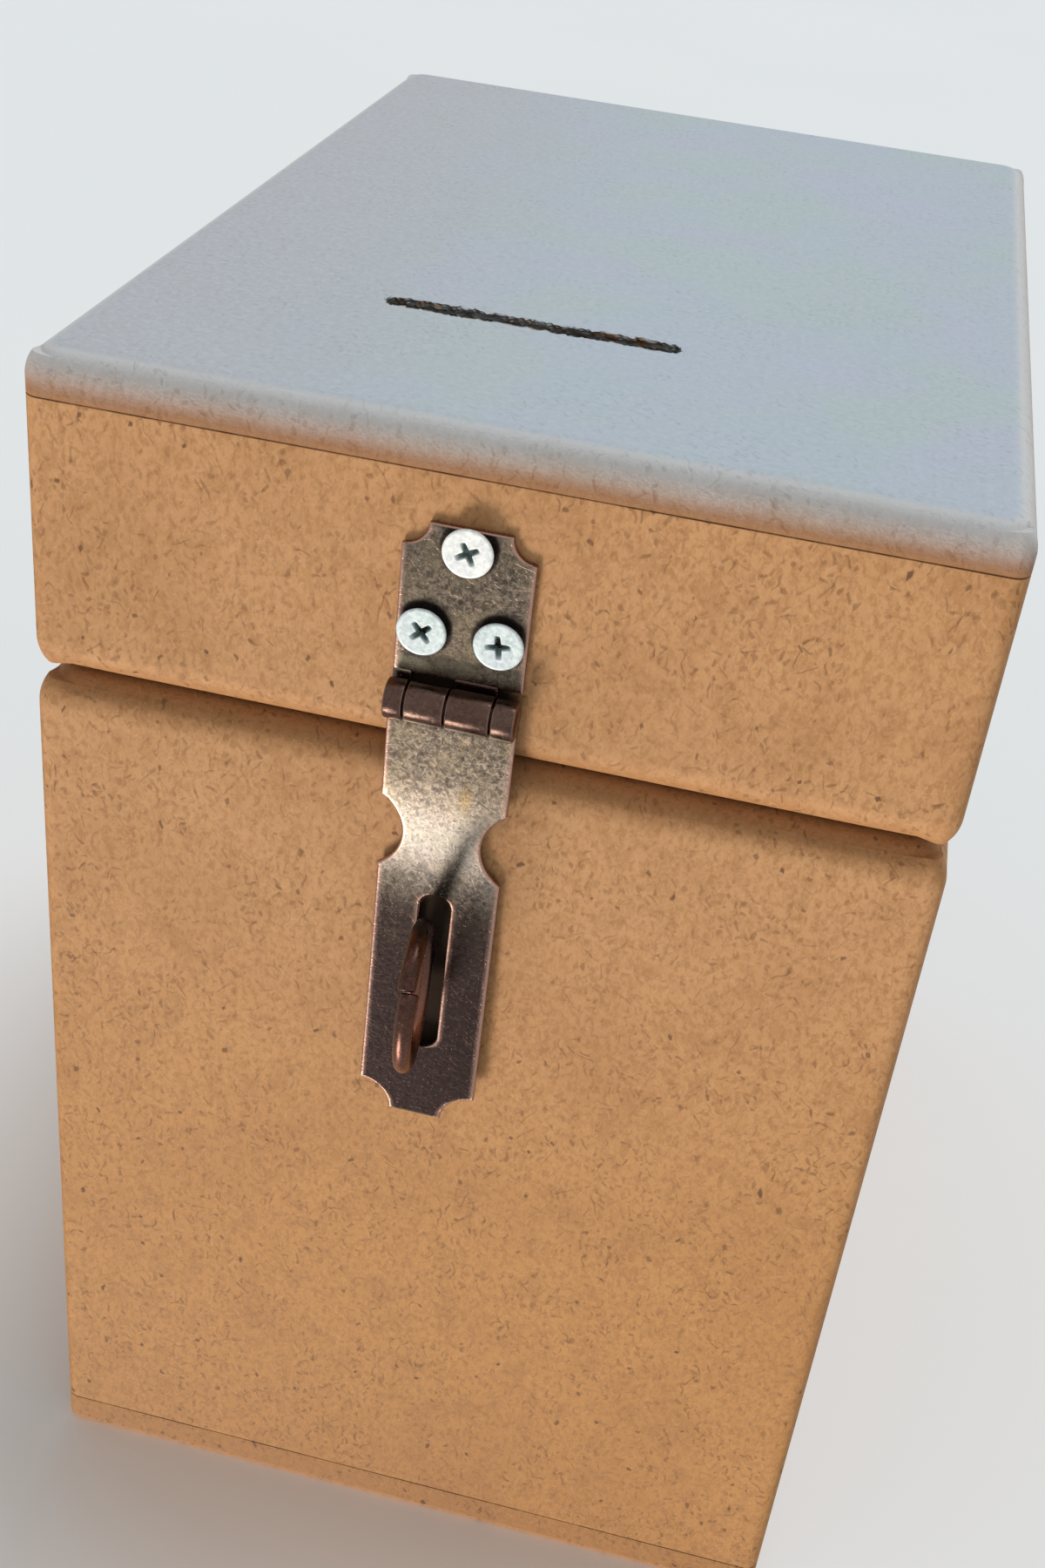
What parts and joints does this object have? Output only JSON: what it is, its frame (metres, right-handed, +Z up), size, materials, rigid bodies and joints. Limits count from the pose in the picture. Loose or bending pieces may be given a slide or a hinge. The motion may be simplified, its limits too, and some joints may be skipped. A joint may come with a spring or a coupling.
{
  "type": "tip box",
  "caption": "Tall fibreboard tip box with a coin slot in its hinged lid and a hasp and staple for a padlock at the front.",
  "frame": {"origin": "middle of the base's underside, on the surface that the box stands on", "axes": "+Z up, -Y out of the front with the hasp, +X to the right of someone who faces the front"},
  "size_m": [0.16, 0.2614, 0.2568],
  "materials": {
    "fibreboard": "bare sanded medium-density fibreboard with dark fibre specks",
    "hasp_sheet": "antique copper plating, mottled, worn bright along the edges",
    "hinge_sheet": "antique copper plating, mottled",
    "hinge_pins": "antique copper plating",
    "copper_wire": "antique copper plating, worn to bright copper at the front",
    "zinc_screws": "white zinc plating",
    "hinge_screws": "antique copper plating"
  },
  "bodies": {
    "box": {"body_base": "fibreboard", "body_front_panel": "fibreboard", "body_back_panel": "fibreboard", "body_left_panel": "fibreboard", "body_right_panel": "fibreboard", "staple": "copper_wire", "left_hinge_body_leaf": "hinge_sheet", "left_hinge_pin": "hinge_pins", "left_hinge_body_screws": "hinge_screws", "right_hinge_body_leaf": "hinge_sheet", "right_hinge_pin": "hinge_pins", "right_hinge_body_screws": "hinge_screws"},
    "lid": {"lid_top_panel": "fibreboard", "lid_front_panel": "fibreboard", "lid_back_panel": "fibreboard", "lid_left_panel": "fibreboard", "lid_right_panel": "fibreboard", "hasp_leaf": "hasp_sheet", "hasp_pin": "hinge_pins", "hasp_screw_top": "zinc_screws", "hasp_screw_left": "zinc_screws", "hasp_screw_right": "zinc_screws", "left_hinge_lid_leaf": "hinge_sheet", "left_hinge_lid_screws": "hinge_screws", "right_hinge_lid_leaf": "hinge_sheet", "right_hinge_lid_screws": "hinge_screws"},
    "strap": {"hasp_strap": "hasp_sheet"}
  },
  "joints": [
    {"name": "lid_hinge", "type": "hinge", "parent": "box", "child": "lid", "pos_m": [0, 0.11785, 0.19815], "axis": [-1, 0, 0], "range_deg": [0, 170]},
    {"name": "strap_hinge", "type": "hinge", "parent": "lid", "child": "strap", "pos_m": [-0.0046, -0.11875, 0.2097], "axis": [-1, 0, 0], "range_deg": [0, 175]}
  ]
}
